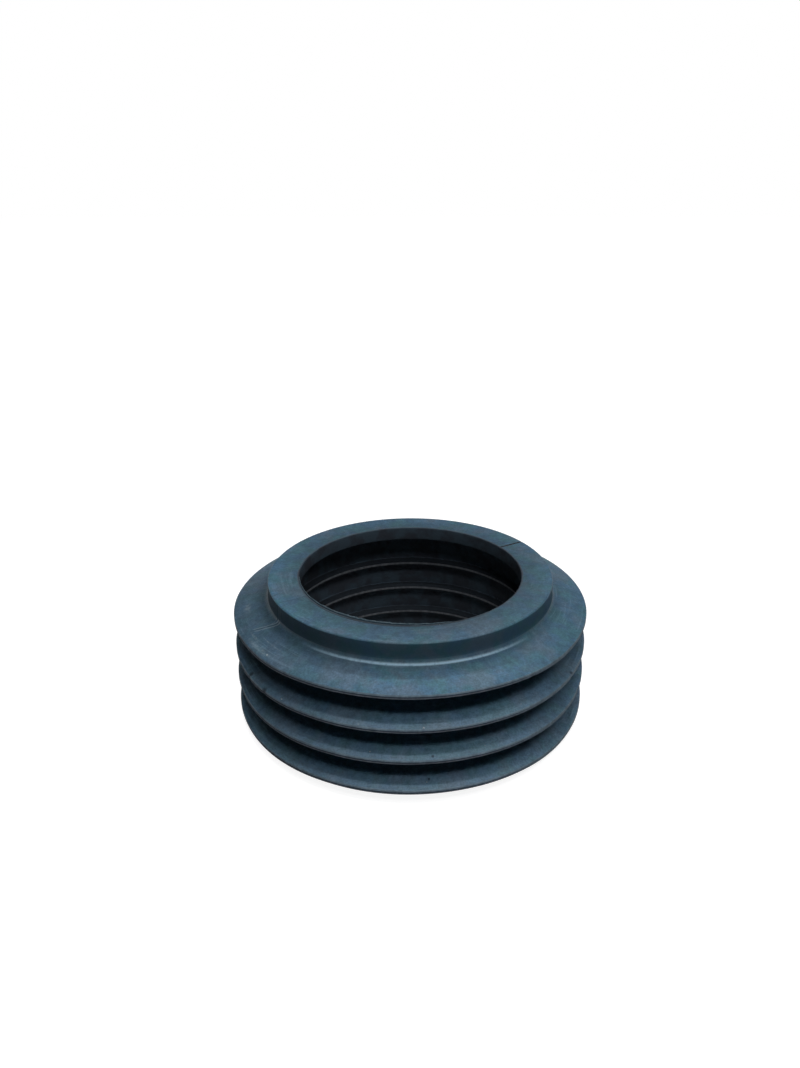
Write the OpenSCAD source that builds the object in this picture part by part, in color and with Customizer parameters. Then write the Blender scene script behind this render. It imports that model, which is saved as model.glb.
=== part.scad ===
// Inlet seal of a toilet cistern's flush pipe, moulded in one piece of black rubber.
// A short tube grips the pipe with ribs inside and seals in the inlet with drooping fins outside.
// The origin is on the axis in the foot face, and +Z points to the nose, which goes in first.

/* [Tube] */
// Inside diameter of the bore, which is the pipe's outside diameter
bore_d = 44; // [42:0.1:46]
// Thickness of the tube's wall
tube_wall = 2.15; // [1.4:0.05:2.6]
// Length of the bare nose, from its face to the first fin
nose_h = 3.1; // [1.8:0.1:6]
// How far the foot face stands below the rim of the last fin
foot_step = 2; // [0.5:0.1:4]
// Radius of the tube's outer edges at the nose and the foot
edge_r = 0.3; // [0.1:0.05:0.5]
// Chamfer that leads the pipe into the foot
mouth_chamfer = 0.6; // [0.2:0.1:0.8]

/* [Nose lip] */
// How far the lip that stops the pipe stands in from the bore
lip_depth = 3.1; // [2:0.1:5]
// Thickness of the lip
lip_t = 2.4; // [1.4:0.1:3.6]
// Radius of the lip's edges
lip_edge_r = 0.15; // [0.05:0.05:0.5]
// Radius in the corner under the lip
lip_root_r = 0.5; // [0.1:0.1:1]

/* [Sealing fins] */
// Number of fins
fin_count = 4; // [2:1:6]
// Diameter over the fins
fin_d = 60; // [56:0.5:64]
// Distance from one fin to the next
fin_pitch = 5.34; // [4.6:0.02:7.5]
// Angle by which the top of a fin slopes down towards its rim
fin_droop = 16.5; // [12:0.5:24]
// Thickness of a fin at its rim
fin_edge = 0.85; // [0.7:0.05:1.4]
// Thickness of a fin at the tube
fin_root = 1.4; // [1.2:0.1:1.8]
// Radius of the rim's edges
rim_r = 0.2; // [0.05:0.05:0.3]
// Radius of the hollow between the tube and the top of a fin
fin_top_r = 1.1; // [0.4:0.1:1.4]
// Radius of the hollow between the tube and the underside of a fin
fin_under_r = 0.4; // [0.2:0.1:0.8]

/* [Grip ribs] */
// How far a rib stands in from the bore, which is its squeeze on the pipe
rib_depth = 1.2; // [0.6:0.1:1.8]
// Width of a rib at its crest
rib_crest = 0.6; // [0.3:0.1:1]
// Width of a rib where it leaves the bore
rib_base = 1.6; // [1.2:0.1:2.4]

/* [Hidden] */
bore_r = bore_d / 2;
tube_r = bore_r + tube_wall;
lip_r = bore_r - lip_depth;
rib_r = bore_r - rib_depth;
fin_r = fin_d / 2;
// Height that a fin's top loses from the tube to the rim
fin_drop = (fin_r - tube_r) * tan(fin_droop);
// Height from the foot face to where the last fin's top meets the tube
foot_h = fin_drop + fin_edge + foot_step;
height = nose_h + (fin_count - 1) * fin_pitch + foot_h;
// One rib lies behind the middle of each gap between two fins
rib_count = fin_count - 1;
// Straight steps in each rounded corner
arc_steps = 5;
$fn = 144;

// Height at which the top of a fin leaves the tube, counted from the nose
function fin_z(i) = height - nose_h - i * fin_pitch;

// Height of the lower edge of a fin's rim
function rim_z(i) = fin_z(i) - fin_drop - fin_edge;

// Height of the middle of a rib
function rib_z(i) = rim_z(i) - fin_pitch / 2;

function unit(v) = v / norm(v);

function angle_of(v) = atan2(v[1], v[0]);

// Points of the arc of radius r that rounds the corner b between its neighbours a and c
function rounded_corner(a, b, c, r) =
    let (
        u = unit(a - b),
        v = unit(c - b),
        half = acos(u * v) / 2,
        centre = b + unit(u + v) * r / sin(half),
        start = angle_of(b + u * r / tan(half) - centre),
        end = angle_of(b + v * r / tan(half) - centre),
        // The short way round from start to end
        sweep = (end - start + 540) % 360 - 180
    )
    [for (i = [0:arc_steps])
        let (turn = start + sweep * i / arc_steps)
        centre + r * [cos(turn), sin(turn)]
    ];

// Outline through corners given as [radius from the axis, height, rounding]
function rounded_outline(corners) =
    let (n = len(corners))
    [for (i = [0:n - 1])
        let (
            a = corners[(i + n - 1) % n],
            b = corners[i],
            c = corners[(i + 1) % n]
        )
        each b[2] == 0
            ? [[b[0], b[1]]]
            : rounded_corner([a[0], a[1]], [b[0], b[1]], [c[0], c[1]], b[2])
    ];

// Foot face, from the chamfered mouth to the outside
foot_corners = [
    [bore_r, mouth_chamfer, 0],
    [bore_r + mouth_chamfer, 0, 0],
    [tube_r, 0, edge_r]
];

// One fin, from the tube along its underside, round its rim and back along its top
function fin_corners(i) = [
    [tube_r, fin_z(i) - fin_root, fin_under_r],
    [fin_r, rim_z(i), rim_r],
    [fin_r, rim_z(i) + fin_edge, rim_r],
    [tube_r, fin_z(i), fin_top_r]
];

// Bare nose with the lip that stops the pipe
nose_corners = [
    [tube_r, height, edge_r],
    [lip_r, height, lip_edge_r],
    [lip_r, height - lip_t, lip_edge_r],
    [bore_r, height - lip_t, lip_root_r]
];

// One grip rib on the wall of the bore
function rib_corners(i) = [
    [bore_r, rib_z(i) + rib_base / 2, 0],
    [rib_r, rib_z(i) + rib_crest / 2, 0],
    [rib_r, rib_z(i) - rib_crest / 2, 0],
    [bore_r, rib_z(i) - rib_base / 2, 0]
];

// Half section of the seal, from the foot up the outside and down the bore
module section() {
    fins = [for (i = [fin_count - 1:-1:0]) each fin_corners(i)];
    ribs = [for (i = [0:rib_count - 1]) each rib_corners(i)];
    polygon(rounded_outline(concat(foot_corners, fins, nose_corners, ribs)));
}

module seal() {
    color([0.2, 0.25, 0.28])
        rotate_extrude()
            section();
}

seal();
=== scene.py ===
# Looks of a moulded rubber inlet seal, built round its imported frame
import math

import bmesh
import bpy
import numpy as np
from mathutils import Matrix, Vector


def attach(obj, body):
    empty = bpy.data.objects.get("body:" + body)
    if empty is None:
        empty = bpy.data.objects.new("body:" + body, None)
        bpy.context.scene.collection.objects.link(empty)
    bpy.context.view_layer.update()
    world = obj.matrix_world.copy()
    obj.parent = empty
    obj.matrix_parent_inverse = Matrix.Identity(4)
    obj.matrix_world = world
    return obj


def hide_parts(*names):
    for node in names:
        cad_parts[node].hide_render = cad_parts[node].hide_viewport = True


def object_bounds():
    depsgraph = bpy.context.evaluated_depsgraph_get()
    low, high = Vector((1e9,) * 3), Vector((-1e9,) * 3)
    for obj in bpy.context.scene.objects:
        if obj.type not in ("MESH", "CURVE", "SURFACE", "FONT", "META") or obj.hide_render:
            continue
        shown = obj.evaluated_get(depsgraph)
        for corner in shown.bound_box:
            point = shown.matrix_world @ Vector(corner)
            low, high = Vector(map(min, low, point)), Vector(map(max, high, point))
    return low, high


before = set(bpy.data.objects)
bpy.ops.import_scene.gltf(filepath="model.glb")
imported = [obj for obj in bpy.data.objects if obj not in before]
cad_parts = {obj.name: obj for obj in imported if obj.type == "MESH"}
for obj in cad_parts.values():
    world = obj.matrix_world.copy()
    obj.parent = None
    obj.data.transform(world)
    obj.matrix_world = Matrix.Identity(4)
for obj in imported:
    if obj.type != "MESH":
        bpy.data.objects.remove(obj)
cad_low, cad_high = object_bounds()

# Sizes of the seal, in millimetres
MM = 0.001
HEIGHT = (cad_high.z - cad_low.z) / MM
FIN_R = (cad_high.x - cad_low.x) / 2 / MM
BORE_R = 22.0
TUBE_R = BORE_R + 2.15
NOSE_H = 3.1
EDGE_R = 0.3
MOUTH_CHAMFER = 0.6
LIP_R = BORE_R - 3.1
LIP_T = 2.4
LIP_EDGE_R = 0.15
LIP_ROOT_R = 0.5
FIN_COUNT = 4
FIN_PITCH = 5.34
FIN_DROOP = math.radians(16.5)
FIN_EDGE = 0.85
FIN_ROOT = 1.4
RIM_R = 0.2
FIN_TOP_R = 1.1
FIN_UNDER_R = 0.4
RIB_COUNT = FIN_COUNT - 1
RIB_R = BORE_R - 1.2
RIB_CREST = 0.6
RIB_BASE = 1.6
FIN_DROP = (FIN_R - TUBE_R) * math.tan(FIN_DROOP)


def fin_z(i):
    """Height at which the top of fin i leaves the tube, counted from the nose."""
    return HEIGHT - NOSE_H - i * FIN_PITCH


def rim_z(i):
    """Height of the lower edge of fin i's rim."""
    return fin_z(i) - FIN_DROP - FIN_EDGE


def rib_z(i):
    """Height of the middle of rib i."""
    return rim_z(i) - FIN_PITCH / 2


def fin_top(i, radius):
    """Height of the top of fin i at a radius."""
    return fin_z(i) - (radius - TUBE_R) * math.tan(FIN_DROOP)


def place(radius, angle, height):
    """Point at a radius and an angle in degrees, from the front towards the right."""
    turn = math.radians(angle)
    return Vector((radius * math.sin(turn), -radius * math.cos(turn), height))


# Section of the seal
ARC_STEP = math.radians(20)
LEAST_ARC_STEPS = 3
RUN_STEP = 1.1


def arc_points(before, corner, after, radius):
    """Points of the arc that rounds a corner between its two neighbours."""
    u = (before - corner).normalized()
    v = (after - corner).normalized()
    half = math.acos(max(-1.0, min(1.0, u.dot(v)))) / 2
    centre = corner + (u + v).normalized() * (radius / math.sin(half))
    reach = radius / math.tan(half)
    first = corner + u * reach - centre
    last = corner + v * reach - centre
    start = math.atan2(first.y, first.x)
    # The short way round from start to end
    sweep = (math.atan2(last.y, last.x) - start + 3 * math.pi) % (2 * math.pi) - math.pi
    steps = max(LEAST_ARC_STEPS, math.ceil(abs(sweep) / ARC_STEP))
    turns = [start + sweep * i / steps for i in range(steps + 1)]
    return [centre + radius * Vector((math.cos(t), math.sin(t))) for t in turns]


def section_corners():
    """Corners of the half section as (radius from the axis, height, rounding)."""
    corners = [(BORE_R, MOUTH_CHAMFER, 0), (BORE_R + MOUTH_CHAMFER, 0, 0), (TUBE_R, 0, EDGE_R)]
    for i in reversed(range(FIN_COUNT)):
        corners += [
            (TUBE_R, fin_z(i) - FIN_ROOT, FIN_UNDER_R),
            (FIN_R, rim_z(i), RIM_R),
            (FIN_R, rim_z(i) + FIN_EDGE, RIM_R),
            (TUBE_R, fin_z(i), FIN_TOP_R),
        ]
    corners += [
        (TUBE_R, HEIGHT, EDGE_R),
        (LIP_R, HEIGHT, LIP_EDGE_R),
        (LIP_R, HEIGHT - LIP_T, LIP_EDGE_R),
        (BORE_R, HEIGHT - LIP_T, LIP_ROOT_R),
    ]
    for i in range(RIB_COUNT):
        corners += [
            (BORE_R, rib_z(i) + RIB_BASE / 2, 0),
            (RIB_R, rib_z(i) + RIB_CREST / 2, 0),
            (RIB_R, rib_z(i) - RIB_CREST / 2, 0),
            (BORE_R, rib_z(i) - RIB_BASE / 2, 0),
        ]
    return corners


def section_points():
    """Closed half section, its corners rounded and its long runs divided."""
    corners = section_corners()
    count = len(corners)
    turned = []
    for i, (r, z, radius) in enumerate(corners):
        before = Vector(corners[i - 1][:2])
        after = Vector(corners[(i + 1) % count][:2])
        corner = Vector((r, z))
        turned += arc_points(before, corner, after, radius) if radius else [corner]
    points = []
    for a, b in zip(turned, turned[1:] + turned[:1]):
        steps = max(1, round((b - a).length / RUN_STEP))
        points += [a.lerp(b, i / steps) for i in range(steps)]
    return np.array(points)


def section_normals(points):
    """Outward normal at each point of the section."""
    along = np.roll(points, -1, axis=0) - np.roll(points, 1, axis=0)
    normals = np.stack([along[:, 1], -along[:, 0]], axis=1)
    return normals / np.linalg.norm(normals, axis=1)[:, None]


# Angles of the mesh's columns, closer where the mould parted
RING_STEPS = 500
PARTING_ANGLES = (-60.5, 120.5)
PARTING_OPEN = (0.15, 1.0)
PARTING_HALF = 0.8
PARTING_STEPS = 11
COLUMN_GAP = 0.05


def ring_turns():
    """Angles of the columns in radians, none closer than the gap to the one before."""
    even = np.linspace(-180, 180, RING_STEPS, endpoint=False)
    fine = [a + np.linspace(-PARTING_HALF, PARTING_HALF, PARTING_STEPS) for a in PARTING_ANGLES]
    turns = np.sort(np.concatenate([even] + fine))
    kept = [turns[0]]
    for turn in turns[1:]:
        if turn - kept[-1] > COLUMN_GAP:
            kept.append(turn)
    return np.radians(kept)


def wave(turns, seed, lowest, highest):
    """Slow even waviness round the seal, between -1 and 1."""
    draw = np.random.default_rng(seed)
    total = np.zeros_like(turns)
    for k in range(lowest, highest):
        total += np.sin(k * turns + draw.uniform(0, 2 * math.pi)) / math.sqrt(k)
    return total / np.abs(total).max()


def angle_gap(turns, angle):
    """Signed angle from a place on the seal, in radians, the short way round."""
    return (turns - math.radians(angle) + math.pi) % (2 * math.pi) - math.pi


def bump(distance, width):
    """Smooth rise to 1 over a width either side of a place."""
    return np.exp(-((distance / width) ** 2))


# Sag of each soft fin's rim, in millimetres, as (over the whole front, at both sides of it)
FIN_SAG = [(0.0, 0.19), (0.34, 0.10), (0.33, 0.14), (0.26, 0.14)]
# Angles at which the front's sag starts to fade and has gone
SAG_FADE = (50, 84)
# Angle of the deeper sag at both sides, and its width
SAG_SIDE = 46
SAG_SIDE_WIDTH = 15
SAG_POWER = 1.5


def fin_sag(i, turns):
    """How far the rim of fin i hangs below its moulded height."""
    angles = np.degrees(np.abs(angle_gap(turns, 0)))
    front = np.clip((SAG_FADE[1] - angles) / (SAG_FADE[1] - SAG_FADE[0]), 0, 1)
    front = front * front * (3 - 2 * front)
    return FIN_SAG[i][0] * front + FIN_SAG[i][1] * bump(angles - SAG_SIDE, SAG_SIDE_WIDTH)


def sag_share(radius):
    """Share of its rim's sag that a fin has at a radius."""
    return np.clip((radius - TUBE_R) / (FIN_R - TUBE_R), 0, 1) ** SAG_POWER


def sag_depths(points, turns):
    """How far each point of the mesh hangs below its moulded height."""
    r, z = points[:, 0], points[:, 1]
    depths = np.zeros((len(turns), len(points)))
    for i in range(FIN_COUNT):
        on_fin = (z > rim_z(i) - RIM_R) & (z < fin_z(i) + FIN_TOP_R)
        depths += (on_fin * sag_share(r))[None, :] * fin_sag(i, turns)[:, None]
    return depths


# Moulding marks in the surface, in millimetres
RIDGE = 0.06
LOW_RIDGE = 0.025
GROOVE = 0.12
SEAM_WIDTH = 0.12
# Waviness of the rims and the fins' tops as (height, first seed, slowest wave, fastest wave)
RIM_WAVE = (0.03, 10, 3, 26)
FACE_WAVE = (0.03, 20, 2, 18)
# Width next to the tube where a fin's top stays even
FACE_CLEAR = 1
# Least height of the normal on a face that looks up
FACE_UP = 0.5
# Nicks in the rims as (fin, angle, width, depth)
NICKS = [
    (0, 37.0, 0.5, 0.07),
    (0, -20.5, 0.4, 0.06),
    (1, -58.0, 0.6, 0.16),
    (1, -48.5, 0.6, 0.14),
    (1, 58.5, 0.6, 0.12),
    (1, 4.0, 0.4, 0.06),
    (2, 66.0, 0.5, 0.12),
    (2, 6.0, 0.4, 0.07),
    (3, 150.0, 0.5, 0.08),
]


def surface_offsets(points, normals, turns):
    """How far each point of the mesh stands out along the section's normal."""
    r, z = points[:, 0][None, :], points[:, 1][None, :]
    looks_up = normals[:, 1][None, :] > FACE_UP
    outside = (r > TUBE_R - EDGE_R).astype(float)
    collar = ((z > HEIGHT - EDGE_R) & looks_up).astype(float)
    rim_clear = (r < FIN_R - RIM_R).astype(float)
    ridge = np.where(z > fin_z(1) + FIN_DROP, RIDGE, LOW_RIDGE)
    offset = np.zeros((len(turns), len(points)))
    for angle, opened in zip(PARTING_ANGLES, PARTING_OPEN):
        seam = bump(angle_gap(turns, angle)[:, None] * r, SEAM_WIDTH)
        offset += seam * (ridge * outside * (1 - collar) * rim_clear - GROOVE * opened * collar)
    rim_depth, rim_seed, *rim_waves = RIM_WAVE
    face_depth, face_seed, *face_waves = FACE_WAVE
    for i in range(FIN_COUNT):
        rim_middle = rim_z(i) + FIN_EDGE / 2
        near = (np.abs(z - rim_middle) < FIN_EDGE) & (r > FIN_R - 2 * RIM_R)
        offset -= near * rim_depth * (1 + wave(turns, rim_seed + i, *rim_waves))[:, None]
        for fin, angle, width, depth in NICKS:
            if fin == i:
                offset -= near * depth * bump(angle_gap(turns, angle)[:, None] * r, width / 2)
        face_middle = fin_z(i) - FIN_DROP / 2
        face = (np.abs(z - face_middle) < FIN_DROP / 2) & looks_up & (r > TUBE_R + FACE_CLEAR)
        offset += face * face_depth * wave(turns, face_seed + i, *face_waves)[:, None]
    return offset


# Least height of the normal on tops and in hollows, and most on walls and rims
TOP_UP = 0.7
HOLLOW_UP = 0.15
WALL_UP = 0.5
RIM_UP = 0.8
# Share of the rim's rounding that counts as rim
RIM_SHARE = 0.9
# How far the hollow zone, which carries a painted highlight, runs out past its rounding
HOLLOW_RUN = 0.3
# How far off a surface a point may be and still count as on it
TOUCH = 0.01


def zone_weights(points, normals):
    """Which part of the surface each point of the section is on."""
    r, z = points[:, 0], points[:, 1]
    up = normals[:, 1]
    inside = r < LIP_R + LIP_EDGE_R + TOUCH
    inside |= (r < BORE_R + TOUCH) & (z < HEIGHT - LIP_T + TOUCH)
    rim = (r > FIN_R - RIM_R * RIM_SHARE) & (np.abs(up) < RIM_UP)
    rib = np.zeros_like(inside)
    for i in range(RIB_COUNT):
        rib |= (np.abs(z - rib_z(i)) < RIB_CREST / 2 + TOUCH) & (r < RIB_R + TOUCH)
    top = (up > TOP_UP) & ~inside
    wall = (np.abs(up) < WALL_UP) & ~inside & ~rim
    hollow = (r > TUBE_R - TOUCH) & (r < TUBE_R + FIN_TOP_R + HOLLOW_RUN) & (up > HOLLOW_UP)
    zones = {"inside": inside, "rim": rim, "rib": rib, "top": top, "wall": wall, "hollow": hollow}
    return {name: weights.astype(float) for name, weights in zones.items()}


SMOOTH_ANGLE = math.radians(30)


def new_object(name, verts, faces):
    """Mesh object from points in millimetres."""
    mesh = bpy.data.meshes.new(name)
    mesh.from_pydata((np.asarray(verts) * MM).tolist(), [], faces)
    mesh.validate()
    mesh.polygons.foreach_set("use_smooth", [True] * len(mesh.polygons))
    mesh.set_sharp_from_angle(angle=SMOOTH_ANGLE)
    mesh.update()
    obj = bpy.data.objects.new(name, mesh)
    bpy.context.scene.collection.objects.link(obj)
    return obj


def store(obj, name, values):
    """Keep a number for each point of a mesh, for its material to read."""
    layer = obj.data.attributes.new(name, "FLOAT", "POINT")
    layer.data.foreach_set("value", np.asarray(values).astype(np.float32).ravel())


def ring_faces(ring, run):
    """Quads of a closed section turned all the way round."""
    i = np.arange(ring)[:, None]
    j = np.arange(run)[None, :]
    i2, j2 = (i + 1) % ring, (j + 1) % run
    faces = np.stack([i * run + j, i2 * run + j, i2 * run + j2, i * run + j2], axis=-1)
    return faces.reshape(-1, 4).tolist()


def build_seal():
    """The whole seal as one mesh, revolved from its section."""
    points = section_points()
    normals = section_normals(points)
    turns = ring_turns()
    offset = surface_offsets(points, normals, turns)
    sag = sag_depths(points, turns)
    r = np.minimum(points[:, 0][None, :] + offset * normals[:, 0][None, :], FIN_R)
    z = np.clip(points[:, 1][None, :] + offset * normals[:, 1][None, :] - sag, 0, HEIGHT)
    x = r * np.sin(turns)[:, None]
    y = -r * np.cos(turns)[:, None]
    verts = np.stack([x, y, z], axis=-1).reshape(-1, 3)
    seal = new_object("seal_rubber", verts, ring_faces(len(turns), len(points)))
    zones = zone_weights(points, normals)
    for name, weights in zones.items():
        store(seal, name, np.tile(weights, len(turns)))
    store(seal, "sag", sag)
    matt = np.maximum.reduce([zones["inside"], zones["rim"], zones["wall"]])
    matt = np.minimum(matt, np.roll(matt, -1)).astype(np.int32)
    seal.data.polygons.foreach_set("material_index", np.tile(matt, len(turns)))
    smooth = seal.modifiers.new("even_normals", "WEIGHTED_NORMAL")
    smooth.keep_sharp = True
    return seal


# Film of flash left on the edge of the lip, in degrees and millimetres
FLASH_FROM, FLASH_TO = -84.0, 20.0
FLASH_STEPS = 320
FLASH_DEPTH = 1.0
FLASH_T = 0.05
FLASH_DROP = 0.12
FLASH_SEAT = 0.12
# Share of the depth that the film keeps away from the front
FLASH_SIDE = 0.26
# Power of the fade at both ends, where a small one is a blunt end
FLASH_FADE = 0.35
# Thickness of the torn edge as a share of the film's
FLASH_TIP = 0.3
# Share of the depth that no tear reaches
FLASH_WHOLE = 0.88
# Tears along its edge and curl of the whole film, as (height, speed, seed, slowest, fastest)
FLASH_TEARS = [(0.10, 6, 31, 4, 40), (0.06, 30, 32, 3, 30)]
FLASH_CURL = (0.04, 4, 33, 3, 20)


def scaled_wave(turns, height, speed, seed, lowest, highest):
    """Waviness of a height, sped up to be finer than once round the seal."""
    return height * wave(turns * speed, seed, lowest, highest)


def build_flash():
    """Thin ragged film that stands in from the lip, along the front left."""
    turns = np.radians(np.linspace(FLASH_FROM, FLASH_TO, FLASH_STEPS))
    fade = np.sin(math.pi * np.linspace(0, 1, FLASH_STEPS)) ** FLASH_FADE
    ragged = FLASH_WHOLE + sum(scaled_wave(turns, *tear) for tear in FLASH_TEARS)
    side = FLASH_SIDE + (1 - FLASH_SIDE) * np.cos(turns) ** 2
    depth = FLASH_DEPTH * side * fade * ragged
    level = HEIGHT - FLASH_DROP + scaled_wave(turns, *FLASH_CURL)
    verts = []
    for turn, reach, z in zip(turns, depth, level):
        for r, dz in (
            (LIP_R + FLASH_SEAT, FLASH_T),
            (LIP_R - reach, FLASH_T * FLASH_TIP),
            (LIP_R - reach, -FLASH_T * FLASH_TIP),
            (LIP_R + FLASH_SEAT, -FLASH_T),
        ):
            verts.append((r * math.sin(turn), -r * math.cos(turn), z + dz))
    faces = [(3, 2, 1, 0)]
    for i in range(FLASH_STEPS - 1):
        a, b = 4 * i, 4 * (i + 1)
        faces += [(a + k, a + (k + 1) % 4, b + (k + 1) % 4, b + k) for k in range(4)]
    last = 4 * (FLASH_STEPS - 1)
    faces.append((last, last + 1, last + 2, last + 3))
    flash = new_object("lip_flash", verts, faces)
    store(flash, "tip", np.tile([0.0, 1.0, 1.0, 0.0], FLASH_STEPS))
    return flash


# Crumbs of pale dust as (fin or -1 for the collar, angle, radius, size)
CRUMBS = [
    (0, -48.1, 29.06, 0.17),
    (-1, -35.0, 23.26, 0.13),
    (-1, 13.1, 19.35, 0.13),
    (-1, 41.9, 23.70, 0.11),
    (2, -11.8, 28.93, 0.13),
    (1, 3.6, 29.70, 0.16),
    (1, -14.6, 29.70, 0.10),
    (1, -40.7, 29.60, 0.14),
    (3, 4.7, 28.73, 0.12),
    (1, 34.0, 29.20, 0.09),
    (2, 22.0, 29.10, 0.09),
    (3, -150.0, 28.60, 0.12),
    (0, 160.0, 28.30, 0.12),
]
CRUMB_SEED = 41
# Share of a crumb's size that its middle is sunk by, and how lumpy and flat it is
CRUMB_SINK = 0.25
CRUMB_LUMPS = 0.22
CRUMB_WIDTH = (0.6, 1.1)
CRUMB_HEIGHT = 0.5


def unit_ball():
    """Points and triangles of a small ball of radius 1."""
    ball = bpy.data.meshes.new("ball")
    shape = bmesh.new()
    bmesh.ops.create_icosphere(shape, subdivisions=2, radius=1.0)
    shape.to_mesh(ball)
    shape.free()
    points = np.array([v.co[:] for v in ball.vertices])
    tris = [tuple(p.vertices) for p in ball.polygons]
    bpy.data.meshes.remove(ball)
    return points, tris


def build_crumbs():
    """Tiny crumbs half sunk in the tops."""
    draw = np.random.default_rng(CRUMB_SEED)
    points, tris = unit_ball()
    verts, faces = [], []
    for fin, angle, radius, size in CRUMBS:
        height = HEIGHT
        if fin >= 0:
            sag = fin_sag(fin, math.radians(angle)) * sag_share(radius)
            height = fin_top(fin, radius) - sag
        centre = np.array(place(radius, angle, height - CRUMB_SINK * size))
        lumps = 1 + CRUMB_LUMPS * draw.standard_normal(len(points))
        stretch = np.array([1.0, draw.uniform(*CRUMB_WIDTH), CRUMB_HEIGHT])
        start = len(verts)
        verts += list(centre + points * lumps[:, None] * size * stretch)
        faces += [tuple(start + v for v in tri) for tri in tris]
    verts = np.array(verts)
    verts[:, 2] = np.minimum(verts[:, 2], HEIGHT)
    return new_object("dust_crumbs", verts, faces)


# Materials
class Graph:
    """Short ways to add shader nodes and wire them."""

    def __init__(self, owner):
        owner.use_nodes = True
        self.nodes = owner.node_tree.nodes
        self.links = owner.node_tree.links

    def feed(self, socket, value):
        """Link a socket to an output, or set it to a plain value."""
        if isinstance(value, bpy.types.NodeSocket):
            self.links.new(value, socket)
        else:
            socket.default_value = value

    def add(self, kind, *values, **settings):
        """New node with its settings made and its first inputs fed."""
        node = self.nodes.new(kind)
        for name, setting in settings.items():
            setattr(node, name, setting)
        for socket, value in zip(node.inputs, values):
            self.feed(socket, value)
        return node

    def math(self, operation, a, b=0.0):
        return self.add("ShaderNodeMath", a, b, operation=operation).outputs[0]

    def plus(self, a, b):
        return self.math("ADD", a, b)

    def minus(self, a, b):
        return self.math("SUBTRACT", a, b)

    def times(self, first, *others):
        """Product of two or more numbers."""
        for other in others:
            first = self.math("MULTIPLY", first, other)
        return first

    def away(self, value, middle=0.0):
        """Distance of a number from a middle one."""
        return self.math("ABSOLUTE", self.minus(value, middle) if middle else value)

    def vector(self, operation, a, b=(0, 0, 0), output="Vector"):
        return self.add("ShaderNodeVectorMath", a, b, operation=operation).outputs[output]

    def length(self, vector):
        return self.vector("LENGTH", vector, output="Value")

    def scale(self, colour, factor):
        node = self.add("ShaderNodeVectorMath", colour, operation="SCALE")
        self.feed(node.inputs["Scale"], factor)
        return node.outputs[0]

    def split(self, vector):
        return list(self.add("ShaderNodeSeparateXYZ", vector).outputs)

    def join(self, x, y, z):
        return self.add("ShaderNodeCombineXYZ", x, y, z).outputs[0]

    def rise(self, value, low, high):
        """Smooth rise from 0 at low to 1 at high, or a fall where low is the larger."""
        node = self.add("ShaderNodeMapRange", value, interpolation_type="SMOOTHSTEP")
        node.inputs["From Min"].default_value = low
        node.inputs["From Max"].default_value = high
        return node.outputs["Result"]

    def side(self, angle, middle, low, high):
        """1 on the side of the seal round a middle angle, between two cosines of the angle from it."""
        return self.rise(self.math("COSINE", self.minus(angle, middle)), low, high)

    def noise(self, vector, scale, detail, roughness):
        node = self.add("ShaderNodeTexNoise", vector)
        node.inputs["Scale"].default_value = scale
        node.inputs["Detail"].default_value = detail
        node.inputs["Roughness"].default_value = roughness
        return node.outputs[0]

    def pattern(self, vector, scale, detail, roughness, low, high):
        """Noise that rises from 0 to 1 between two of its values."""
        return self.rise(self.noise(vector, scale, detail, roughness), low, high)

    def mix(self, factor, a, b):
        """Colour a turning into colour b as the factor goes from 0 to 1."""
        node = self.add("ShaderNodeMix", factor, data_type="RGBA")
        self.feed(node.inputs[6], a)
        self.feed(node.inputs[7], b)
        return node.outputs[2]

    def blend(self, factor, a, b):
        """Number a turning into number b as the factor goes from 0 to 1."""
        node = self.add("ShaderNodeMix", factor)
        self.feed(node.inputs[2], a)
        self.feed(node.inputs[3], b)
        return node.outputs[0]

    def zone(self, name):
        """Number that the mesh keeps for each of its points."""
        return self.add("ShaderNodeAttribute", attribute_name=name).outputs["Fac"]

    def coordinates(self, kind):
        return self.add("ShaderNodeTexCoord").outputs[kind]

    def millimetres(self):
        """Place in the frame of the CAD, in millimetres."""
        return self.vector("MULTIPLY", self.coordinates("Object"), (1 / MM, 1 / MM, 1 / MM))


# Tones of the rubber
BLUE = (0.040, 0.096, 0.156, 1)
TEAL = (0.038, 0.104, 0.138, 1)
GREY = (0.070, 0.108, 0.152, 1)
DARK = (0.018, 0.042, 0.062, 1)
PALE = (0.275, 0.430, 0.550, 1)
CRACK = (0.003, 0.005, 0.008, 1)
# Painted shade along the lip's edge and at the film's root
LIP_SHADE = (0.006, 0.018, 0.028, 1)
FILM_EDGE = (0.085, 0.125, 0.150, 1)
FILM_WORN = (0.050, 0.080, 0.100, 1)
# Rim tones: pale lines of painted light along the lower and upper edges with a dark line between, and
# a plain tone away from the front
RIM_LOW = (0.175, 0.205, 0.255, 1)
RIM_LINE = (0.050, 0.068, 0.090, 1)
RIM_HIGH = (0.190, 0.265, 0.335, 1)
RIM_PLAIN = (0.120, 0.165, 0.205, 1)
BORE_TONE = (0.037, 0.045, 0.058, 1)
BORE_SHADE = (0.046, 0.068, 0.090, 1)
# Painted shade on the ribs' flanks and a painted highlight along their crests
FLANK_SHADE = (0.011, 0.015, 0.020, 1)
RIB_HIGHLIGHT = (0.130, 0.142, 0.160, 1)
# Pale chalky residue, also used for painted light along the lower fins' rims
PALE_RESIDUE_AND_LIGHT = (0.220, 0.285, 0.320, 1)
DUST_LIGHT = (0.36, 0.42, 0.45, 1)
DUST_DARK = (0.20, 0.25, 0.28, 1)
# Tint of the upright walls, which darkens them as painted shade
WALL_TINT = (0.70, 0.68, 0.67)

# Noise as (scale per millimetre, detail, roughness)
FINE = (3.4, 2.0, 0.6)
STEP_NOISE = (0.35, 3.0, 0.5)
PATCHES = (0.5, 4.0, 0.6)
GRAIN = (2.4, 6.0, 0.7)
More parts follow.
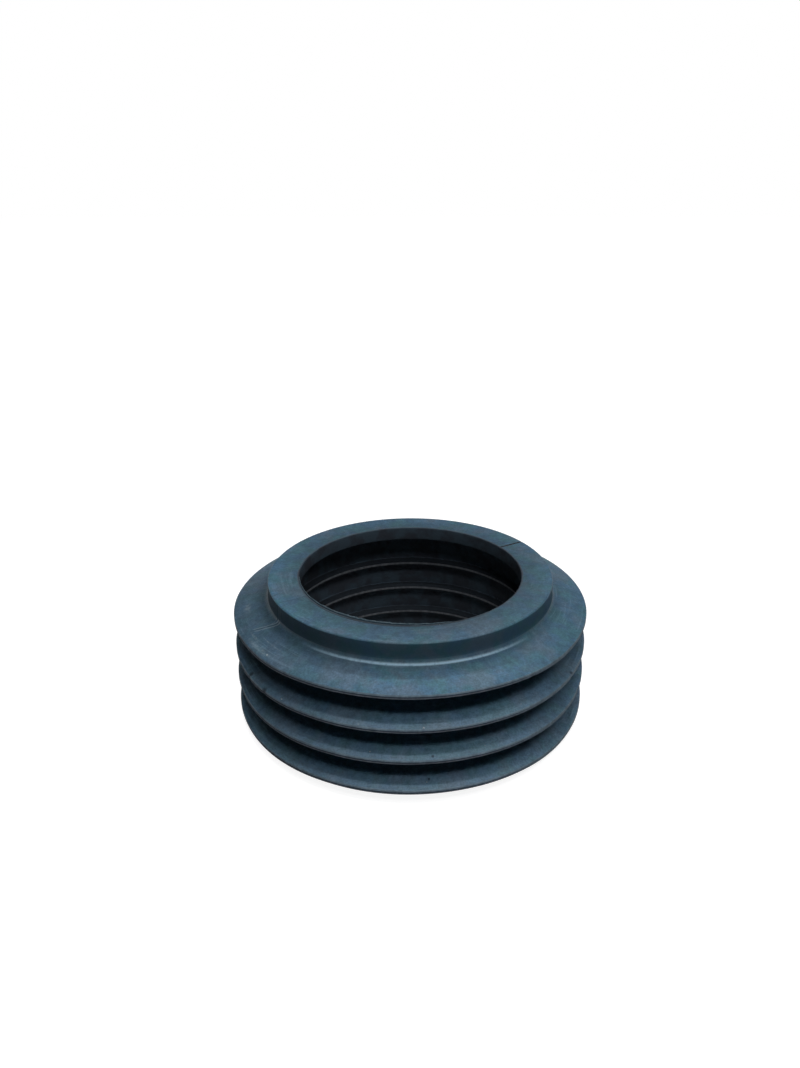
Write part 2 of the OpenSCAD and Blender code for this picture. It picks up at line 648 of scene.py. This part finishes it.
# Patterns as (scale per millimetre, detail, roughness, value at 0, value at 1)
CLOUD = (0.26, 3.0, 0.6, 0.40, 0.60)
HAZE = (0.17, 3.0, 0.6, 0.46, 0.64)
MOTTLE = (0.9, 5.0, 0.72, 0.32, 0.68)
HAIR = (2.2, 3.0, 0.7, 0.56, 0.74)
FLOW = (1.9, 3.0, 0.6, 0.52, 0.66)
FLOW_PATCH = (0.09, 1.0, 0.5, 0.46, 0.60)
FUZZ = (1.5, 5.0, 0.75, 0.16, 0.54)
STIPPLE = (1.6, 4.0, 0.75, 0.46, 0.62)
GRIME = (0.9, 4.0, 0.7, 0.36, 0.62)
FILM_SPECKLE = (1.5, 3.0, 0.6, 0.35, 0.65)
DUST_SPECKLE = (4.0, 3.0, 0.6, 0.35, 0.65)
# Shifts that keep patterns apart
HAZE_SHIFT = (40, 11, 5)
PATCH_SHIFT = (7, 3, 60)
# Radius at which angular noise is measured, and how it is stretched along its lines
RING_R = 27.0
HAIR_STRETCH = 0.12
FLOW_STRETCH = 0.06

# Sides of the seal as (middle angle, cosine where it starts, cosine where it is full)
FRONT_SIDE = (-0.09, 0.50, 0.98)
LEFT_SIDE = (math.radians(-66), 0.55, 0.95)
HIGHLIGHT_SIDE = (0.06, 0.68, 0.98)
LIP_SIDE = (-0.20, 0.50, 0.92)
RIM_SIDE = (-0.35, 0.42, 0.80)
# Brightness on the left, away from the lamps: painted shade on the tops, walls and rims, and painted
# light on the collar
LEFT_TOP = 0.80
LEFT_WALL = 0.60
LEFT_COLLAR = 1.12
LEFT_RIM = 0.62
# Brightness of the collar from its inside to its outside
COLLAR_TONES = (0.78, 1.15)
# Brightness of a fin's inner ring next to the tube and further out, darker next to the tube as painted
# shade, and the radii of the change
FIN_INNER = (0.84, 1.12)
FIN_INNER_R = (25.0, 26.4)
# Brightness of its outer ring at the sides and at the front, brighter at the front as painted light,
# and where it begins
FIN_OUTER = (1.15, 1.52)
FIN_STEP = (27.05, 27.45)
STEP_WANDER = 1.2
# Radii of a paler band of painted light along the front of the lower fins' rims, where the high lamp
# reaches them
LIT_BAND_R = (28.2, 29.6)
# Brightness between which mottle, fine grain and the walls' grain vary, and where the grain rises
MOTTLE_RANGE = (0.82, 1.18)
FINE_RANGE = (0.86, 1.14)
FINE_RISE = (0.30, 0.70)
WALL_RANGE = (0.85, 1.15)
RIM_RANGE = (0.80, 1.20)
# How strongly each mark covers what is under it
HAZE_SHARE = 0.65
GREYED_SHARE = 0.34
LIT_BAND_SHARE = 0.11
HAIR_SHARE = 0.06
FLOW_SHARE = 0.12
HIGHLIGHT_SHARE = 0.88
SEAM_SHARE = 0.36
SEAM_DARK_SHARE = 0.60
SMEAR_SHARE = 0.42
SPOT_SHARE = 0.7
# Least that is left of a painted pale line where grime covers it: low on a rim, high on it and on a
# rib
GRIMY_LOW = 0.75
GRIMY_HIGH = 0.8
GRIMY_RIB = 0.7

# Depths below the nose at which the collar's tones start and are full
COLLAR_FROM = (0.5, 0.1)
# Heights above the second fin's root at which the first fin's tones start and are full
FIRST_FROM = (0.1, 0.4)
# Weights between which the bore's tone starts, so that it stays off the collar
INSIDE_EDGE = (0.80, 0.98)
# Radius of the painted highlight along the hollow, and its two half widths
HOLLOW_R = 24.70
HOLLOW_REACH = (0.30, 0.02)
# Distances out from the lip's edge at which the painted shade along it ends and is full
LIP_REACH = (0.54, 0.40)
# Half widths of the split that the mould left on the collar
SPLIT_REACH = (0.26, 0.13)
# Pale line of the seam on the first fin, which drifts from an angle as the radius grows
SEAM_ANGLE = math.radians(-58.7)
SEAM_DRIFT = math.radians(-1.1)
SEAM_FROM, SEAM_TO = 24.4, 27.9
SEAM_END = 0.3
# Distance of its two pale edges from its middle, their half widths and the dark middle's
SEAM_PALE = 0.32
SEAM_PALE_REACH = (0.24, 0.06)
SEAM_DARK_REACH = (0.20, 0.06)
# How much of the seam shows on an upright wall
SEAM_ON_WALL = 0.2
# Heights above a rim's lower edge at which its low line ends and its high line starts
RIM_LOW_END = (0.38, 0.30)
RIM_HIGH_START = (0.50, 0.58)
# Half heights of the painted highlight along a rib's crest, and weights at which the painted shade on
# its flanks starts
CREST_REACH = (0.27, 0.27 * 0.6)
FLANK_FROM = (0.02, 0.25)
# Dark spots as (fin, angle, radius, size), full within a share of the size
SPOTS = [
    (2, 6.2, 29.4, 0.30),
    (3, 5.4, 28.3, 0.26),
    (1, -58.0, 29.6, 0.55),
    (1, -48.5, 30.0, 0.65),
    (1, 58.5, 29.8, 0.45),
]
SPOT_CORE = 1 / 3
# Chalky residue as (fin, angle, radius, reach along the ring, reach across it)
SMEARS = [
    (0, -50.4, 27.46, 4.2, 0.16),
    (0, -59.0, 28.40, 2.6, 0.30),
    (0, -53.0, 29.10, 4.4, 0.80),
    (0, -78.0, 27.70, 2.4, 0.90),
]
# Share of its reach at which a smear is full, how fast it fades with height, and its least cover
SMEAR_CORE = 0.3
SMEAR_HEIGHT = 0.8
SMEAR_LEAST = 0.25
# Sheen and fine grain
PATCHY_ROUGH = 0.24
SPECKLE_ROUGH = 0.2
HAIR_RELIEF = 0.25
FLOW_RELIEF = 0.4
BUMP_STRENGTH = 0.8
BUMP_DEPTH = 0.06
# The film's tone changes from painted shade at its root to its own tones between these weights of its
# torn edge
TIP_EDGE = (0.60, 0.80)


class Surface:
    """Place of a point on the rubber, in millimetres, and what zones and patterns it is in."""

    def __init__(self, g):
        x, y, z = g.split(g.millimetres())
        # The height as moulded, so that marks follow a fin that sags
        self.z = g.plus(z, g.zone("sag"))
        self.at = g.join(x, y, self.z)
        flat = g.join(x, y, 0.0)
        self.radius = g.length(flat)
        turn = g.vector("MULTIPLY", g.vector("NORMALIZE", flat), (RING_R, RING_R, RING_R))
        self.tx, self.ty, _ = g.split(turn)
        self.angle = g.math("ARCTAN2", x, g.times(y, -1.0))
        self.top, self.wall, self.hollow = g.zone("top"), g.zone("wall"), g.zone("hollow")
        self.rim, self.rib = g.zone("rim"), g.zone("rib")
        self.inside = g.rise(g.zone("inside"), *INSIDE_EDGE)
        self.front = g.side(self.angle, *FRONT_SIDE)
        self.left = g.side(self.angle, *LEFT_SIDE)
        self.on_collar = g.rise(self.z, *(HEIGHT - depth for depth in COLLAR_FROM))
        self.on_first = g.rise(self.z, *(fin_z(1) + climb for climb in FIRST_FROM))
        self.lower = g.minus(1.0, self.on_first)
        self.cloud = g.pattern(self.at, *CLOUD)
        self.mottle = g.pattern(self.at, *MOTTLE)
        across = g.join(self.tx, self.ty, g.times(self.radius, HAIR_STRETCH))
        self.hair = g.times(g.pattern(across, *HAIR), self.top)
        self.grime = g.pattern(across, *GRIME)
        along = g.join(g.times(self.tx, FLOW_STRETCH), g.times(self.ty, FLOW_STRETCH), self.radius)
        flow_patch = g.pattern(g.vector("ADD", self.at, PATCH_SHIFT), *FLOW_PATCH)
        self.flow = g.times(g.pattern(along, *FLOW), self.top, flow_patch)


def body_tones(g, s):
    """Cloudy tones a few millimetres across, with a fine mottle and a level for each ring; the levels,
    the walls' tint and the left side carry painted light and shade, and a band of painted light runs
    along the lower fins' rims.
    """
    haze = g.pattern(g.vector("ADD", s.at, HAZE_SHIFT), *HAZE)
    colour = g.mix(s.cloud, BLUE, TEAL)
    colour = g.mix(g.times(haze, HAZE_SHARE), colour, GREY)
    # Painted shade greys the left side, away from the lamps, except on the collar; the lower fins are
    # greyed too
    greyed = g.math("MAXIMUM", s.lower, g.times(s.left, g.minus(1.0, s.on_collar)))
    colour = g.mix(g.times(greyed, GREYED_SHARE), colour, GREY)
    # Painted shade next to the tube, and painted light on the outer ring, strongest at the front
    wander = g.times(g.minus(g.noise(s.at, *STEP_NOISE), 0.5), STEP_WANDER)
    step = g.rise(g.plus(s.radius, wander), *FIN_STEP)
    inner = g.blend(g.rise(s.radius, *FIN_INNER_R), *FIN_INNER)
    fins = g.blend(step, inner, g.blend(s.front, *FIN_OUTER))
    # Painted shade darkens the fins on the left, and painted light brightens the collar there
    fins = g.times(fins, g.blend(s.left, 1.0, LEFT_TOP))
    collar = g.blend(g.rise(s.radius, LIP_R, TUBE_R), *COLLAR_TONES)
    collar = g.times(collar, g.blend(s.left, 1.0, LEFT_COLLAR))
    level = g.blend(s.on_collar, fins, collar)
    fine = g.noise(s.at, *FINE)
    level = g.times(level, g.blend(s.mottle, *MOTTLE_RANGE))
    level = g.times(level, g.blend(g.rise(fine, *FINE_RISE), *FINE_RANGE))
    # Painted shade: the walls' tint darkens them, and more so on the left
    walls = g.vector("MULTIPLY", colour, WALL_TINT)
    wall_level = g.times(g.blend(fine, *WALL_RANGE), g.blend(s.left, 1.0, LEFT_WALL))
    colour = g.mix(s.wall, g.scale(colour, level), g.scale(walls, wall_level))
    # Painted light: a paler band along the front of the lower fins' rims
    lit_band = g.times(g.rise(s.radius, *LIT_BAND_R), s.front, s.lower)
    return g.mix(g.times(lit_band, LIT_BAND_SHARE), colour, PALE_RESIDUE_AND_LIGHT)


def add_lines(g, s, colour):
    """Hairlines across the faces and streaks of flow round them, a painted highlight along the hollow
    on the lit front, and painted shade along the lip's edge.
    """
    colour = g.mix(g.times(s.hair, HAIR_SHARE), colour, PALE)
    colour = g.mix(g.times(s.flow, FLOW_SHARE), colour, PALE)
    # Painted highlight along the hollow, kept to the lit front
    fuzz = g.pattern(g.join(s.tx, s.ty, s.radius), *FUZZ)
    line = g.times(g.rise(g.away(s.radius, HOLLOW_R), *HOLLOW_REACH), s.hollow, fuzz)
    lit = g.side(s.angle, *HIGHLIGHT_SIDE)
    colour = g.mix(g.times(line, lit, HIGHLIGHT_SHARE), colour, PALE)
    # Painted shade along the lip's edge, on the front
    lip_shade = g.rise(s.radius, *(LIP_R + reach for reach in LIP_REACH))
    lip_shade = g.times(lip_shade, s.on_collar, g.side(s.angle, *LIP_SIDE))
    return g.mix(lip_shade, colour, LIP_SHADE)


def add_parting(g, s, colour):
    """Where the mould parted: split on the collar, pale on the first fin."""
    split = 0.0
    for degrees, opened in zip(PARTING_ANGLES, PARTING_OPEN):
        gap = g.times(g.away(s.angle, math.radians(degrees)), s.radius)
        split = g.math("MAXIMUM", split, g.times(g.rise(gap, *SPLIT_REACH), opened))
    colour = g.mix(g.times(split, s.on_collar), colour, CRACK)
    drift = g.times(g.minus(s.radius, SEAM_FROM), SEAM_DRIFT)
    gap = g.away(g.times(g.minus(g.minus(s.angle, SEAM_ANGLE), drift), s.radius))
    reach = g.times(g.rise(s.radius, SEAM_TO + SEAM_END, SEAM_TO - SEAM_END), s.on_first)
    reach = g.times(reach, g.minus(1.0, s.on_collar), g.blend(s.wall, 1.0, SEAM_ON_WALL))
    pale = g.rise(g.away(gap, SEAM_PALE), *SEAM_PALE_REACH)
    dark = g.rise(gap, *SEAM_DARK_REACH)
    colour = g.mix(g.times(pale, reach, SEAM_SHARE), colour, PALE_RESIDUE_AND_LIGHT)
    return g.mix(g.times(dark, reach, SEAM_DARK_SHARE), colour, DARK)


def add_smears(g, s, colour):
    """Chalky residue, broken up into specks."""
    cover = g.blend(g.pattern(s.at, *STIPPLE), SMEAR_LEAST, 1.0)
    for fin, degrees, radius, along, over in SMEARS:
        along_gap = g.times(g.minus(s.angle, math.radians(degrees)), radius / along)
        over_gap = g.times(g.minus(s.radius, radius), 1 / over)
        height_gap = g.times(g.minus(s.z, fin_top(fin, radius)), SMEAR_HEIGHT)
        away = g.length(g.join(along_gap, over_gap, height_gap))
        smear = g.times(g.rise(away, 1.0, SMEAR_CORE), cover)
        colour = g.mix(g.times(smear, SMEAR_SHARE), colour, PALE_RESIDUE_AND_LIGHT)
    return colour


def add_rims(g, s, colour):
    """Rims on the front painted with a pale line of painted light along each edge and a dark line
    between, a plain tone elsewhere, and a few dark spots near them.
    """
    climb = g.minus(s.z, rim_z(FIN_COUNT - 1) - RIM_R)
    climb = g.minus(g.math("MODULO", climb, FIN_PITCH), RIM_R)
    low = g.times(g.rise(climb, *RIM_LOW_END), g.blend(s.grime, 1.0, GRIMY_LOW))
    high = g.times(g.rise(climb, *RIM_HIGH_START), g.blend(s.grime, 1.0, GRIMY_HIGH))
    # Painted light along the rim's upper and lower edges, dark between, only on the front
    tone = g.mix(high, g.mix(low, RIM_LINE, RIM_LOW), RIM_HIGH)
    tone = g.mix(g.side(s.angle, *RIM_SIDE), RIM_PLAIN, tone)
    # Painted shade darkens the rims on the left
    level = g.times(g.blend(s.mottle, *RIM_RANGE), g.blend(s.left, 1.0, LEFT_RIM))
    colour = g.mix(s.rim, colour, g.scale(tone, level))
    for fin, degrees, radius, size in SPOTS:
        middle = tuple(place(radius, degrees, fin_top(fin, radius)))
        away = g.vector("DISTANCE", s.at, middle, output="Value")
        spot = g.rise(away, size, size * SPOT_CORE)
        colour = g.mix(g.times(spot, SPOT_SHARE), colour, CRACK)
    return colour


def add_bore(g, s, colour):
    """Matt bore, with painted shade on each rib's flanks and a painted highlight along its crest."""
    colour = g.mix(s.inside, colour, g.mix(s.cloud, BORE_TONE, BORE_SHADE))
    # Painted shade on the ribs' flanks
    colour = g.mix(g.rise(s.rib, *FLANK_FROM), colour, FLANK_SHADE)
    # Painted highlight along each rib's crest
    for i in range(RIB_COUNT):
        crest = g.times(g.rise(g.away(s.z, rib_z(i)), *CREST_REACH), s.rib)
        colour = g.mix(g.times(crest, g.blend(s.grime, 1.0, GRIMY_RIB)), colour, RIB_HIGHLIGHT)
    return colour


def new_material(name):
    """Material with its graph and its main shader."""
    material = bpy.data.materials.new(name)
    g = Graph(material)
    return material, g, g.nodes["Principled BSDF"]


def rubber_material(name, specular, roughness):
    """Moulded rubber with its clouds, wear and marks, and painted light and shade."""
    material, g, shader = new_material(name)
    s = Surface(g)
    colour = body_tones(g, s)
    for add in (add_lines, add_parting, add_smears, add_rims, add_bore):
        colour = add(g, s, colour)
    g.links.new(colour, shader.inputs["Base Color"])
    rough = g.plus(g.times(g.noise(s.at, *PATCHES), PATCHY_ROUGH), roughness)
    g.links.new(rough, shader.inputs["Roughness"])
    shader.inputs["Specular IOR Level"].default_value = specular
    relief = g.plus(g.noise(s.at, *GRAIN), g.times(s.hair, HAIR_RELIEF))
    relief = g.plus(relief, g.times(s.flow, FLOW_RELIEF))
    grain = g.nodes.new("ShaderNodeBump")
    grain.inputs["Strength"].default_value = BUMP_STRENGTH
    grain.inputs["Distance"].default_value = BUMP_DEPTH * MM
    g.links.new(relief, grain.inputs["Height"])
    g.links.new(grain.outputs["Normal"], shader.inputs["Normal"])
    return material


def speckled_material(name, light, dark, speckle, specular, roughness, root=None):
    """Two close tones broken up by noise, kept to the mesh's torn tip where there is a root tone,
    which on the film is painted shade.
    """
    material, g, shader = new_material(name)
    spread = g.pattern(g.millimetres(), *speckle)
    colour = g.mix(spread, light, dark)
    if root:
        colour = g.mix(g.rise(g.zone("tip"), *TIP_EDGE), root, colour)
    g.links.new(colour, shader.inputs["Base Color"])
    g.links.new(g.plus(g.times(spread, SPECKLE_ROUGH), roughness), shader.inputs["Roughness"])
    shader.inputs["Specular IOR Level"].default_value = specular
    return material


# Camera, fitted to the photograph, in millimetres, degrees and pixels
CAMERA_AHEAD = 126.89
CAMERA_ABOVE_NOSE = 60.77
CAMERA_PITCH = math.radians(20.095)
CAMERA_YAW = math.radians(0.323)
CAMERA_ROLL = math.radians(-0.039)
PHOTO_W, PHOTO_H = 800, 1068
FOCAL_PX = 817.5
AXIS_PX = Vector((414.39, 491.70))
SENSOR = 36.0
CLIP_START = 0.01


def build_camera():
    """Camera at the photograph's viewing angle."""
    data = bpy.data.cameras.new("camera")
    data.sensor_width = SENSOR
    data.lens = FOCAL_PX / PHOTO_H * SENSOR
    data.shift_x = (PHOTO_W / 2 - AXIS_PX.x) / PHOTO_H
    data.shift_y = (AXIS_PX.y - PHOTO_H / 2) / PHOTO_H
    data.clip_start = CLIP_START
    camera = bpy.data.objects.new("camera", data)
    forward = Vector((
        math.sin(CAMERA_YAW) * math.cos(CAMERA_PITCH),
        math.cos(CAMERA_YAW) * math.cos(CAMERA_PITCH),
        -math.sin(CAMERA_PITCH),
    ))
    level = Vector((math.cos(CAMERA_YAW), -math.sin(CAMERA_YAW), 0))
    upright = level.cross(forward)
    right = level * math.cos(CAMERA_ROLL) + upright * math.sin(CAMERA_ROLL)
    up = upright * math.cos(CAMERA_ROLL) - level * math.sin(CAMERA_ROLL)
    turn = Matrix((right, up, -forward)).transposed()
    stand = Vector((0, -CAMERA_AHEAD, HEIGHT + CAMERA_ABOVE_NOSE)) * MM
    camera.matrix_world = Matrix.Translation(stand) @ turn.to_4x4()
    bpy.context.scene.collection.objects.link(camera)
    bpy.context.scene.camera = camera


# Soft lamps a metre away, as (name, elevation, azimuth from the front, width, height, watts)
LAMP_DISTANCE = 1.0
LAMPS = [
    ("back_softbox", 53.5, 170, 0.62, 0.20, 2.8),
    ("right_softbox", 56.0, 72, 0.60, 0.24, 2.4),
    ("front_softbox", 58.0, 4, 0.34, 0.14, 2.2),
    ("high_strip", 78.0, 0, 0.24, 0.05, 2.5),
    ("left_softbox", 61.0, 290, 0.30, 0.20, 0.2),
]


def build_lamps():
    """Soft lamps that face the seal."""
    for name, elevation, azimuth, width, height, power in LAMPS:
        data = bpy.data.lights.new(name, "AREA")
        data.shape = "RECTANGLE"
        data.size = width
        data.size_y = height
        data.energy = power
        lift = math.radians(elevation)
        spot = place(math.cos(lift), azimuth, math.sin(lift)) * LAMP_DISTANCE
        lamp = bpy.data.objects.new(name, data)
        lamp.location = spot
        lamp.rotation_euler = (-spot).to_track_quat("-Z", "Y").to_euler()
        bpy.context.scene.collection.objects.link(lamp)


WHITE = (1, 1, 1, 1)
WORLD_FILL = 0.015
# Sines of the elevations between which the backdrop ends for reflections
BACKDROP_TOP = (0.12, 0.02)


def seen_by_eye(g, mirrored=1.0):
    """1 on camera rays, and as much as is mirrored on glossy and transmission rays."""
    path = g.nodes.new("ShaderNodeLightPath")
    through = g.math("MAXIMUM", path.outputs["Is Glossy Ray"], path.outputs["Is Transmission Ray"])
    return g.math("MAXIMUM", path.outputs["Is Camera Ray"], g.times(through, mirrored))


def build_world():
    """Pale backdrop that lights nothing, and a weak even fill."""
    world = bpy.data.worlds.new("studio")
    bpy.context.scene.world = world
    g = Graph(world)
    climb = g.split(g.coordinates("Generated"))[2]
    eye = seen_by_eye(g, g.rise(climb, *BACKDROP_TOP))
    background = g.nodes["Background"]
    background.inputs["Color"].default_value = WHITE
    g.feed(background.inputs["Strength"], g.blend(eye, WORLD_FILL, 1.0))


# Floor that is white in itself and keeps a soft shadow near the seal, in metres
FLOOR_SIZE = 6.0
FLOOR_TONE = (0.32, 0.32, 0.32, 1)
NEAR_GLOW = 0.89
NEAR_R, FAR_R = 0.05, 0.16
# Radii between which the shade under the seal and in its bore ends
SHADE_END = (0.024, 0.026)


def build_floor():
    """Pale floor, which isn't part of the seal."""
    mesh = bpy.data.meshes.new("floor")
    half = FLOOR_SIZE / 2
    corners = [(-half, -half, 0), (half, -half, 0), (half, half, 0), (-half, half, 0)]
    mesh.from_pydata(corners, [], [(0, 1, 2, 3)])
    material = bpy.data.materials.new("pale_floor")
    g = Graph(material)
    g.nodes.remove(g.nodes["Principled BSDF"])
    away = g.length(g.coordinates("Object"))
    matt = g.add("ShaderNodeBsdfDiffuse", FLOOR_TONE)
    glow = g.add("ShaderNodeEmission", WHITE)
    level = g.blend(g.rise(away, NEAR_R, FAR_R), NEAR_GLOW, 1.0)
    level = g.times(level, g.rise(away, *SHADE_END))
    g.feed(glow.inputs["Strength"], g.times(level, seen_by_eye(g)))
    both = g.add("ShaderNodeAddShader", matt.outputs[0], glow.outputs[0])
    g.links.new(both.outputs[0], g.nodes["Material Output"].inputs["Surface"])
    mesh.materials.append(material)
    floor = bpy.data.objects.new("floor", mesh)
    bpy.context.scene.collection.objects.link(floor)


seal = build_seal()
seal.data.materials.append(rubber_material("moulded_rubber", specular=0.28, roughness=0.38))
seal.data.materials.append(rubber_material("matt_rubber", specular=0.08, roughness=0.60))
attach(seal, "root")
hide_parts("seal")

flash = build_flash()
# The film's root is painted shade
flash.data.materials.append(speckled_material(
    "rubber_film", FILM_EDGE, FILM_WORN, FILM_SPECKLE, specular=0.15, roughness=0.55, root=LIP_SHADE,
))
crumbs = build_crumbs()
crumbs.data.materials.append(speckled_material(
    "pale_dust", DUST_LIGHT, DUST_DARK, DUST_SPECKLE, specular=0.5, roughness=0.7,
))
for piece in (flash, crumbs):
    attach(piece, "root")

build_camera()
build_lamps()
build_world()
build_floor()
bpy.context.scene.view_settings.view_transform = "Standard"
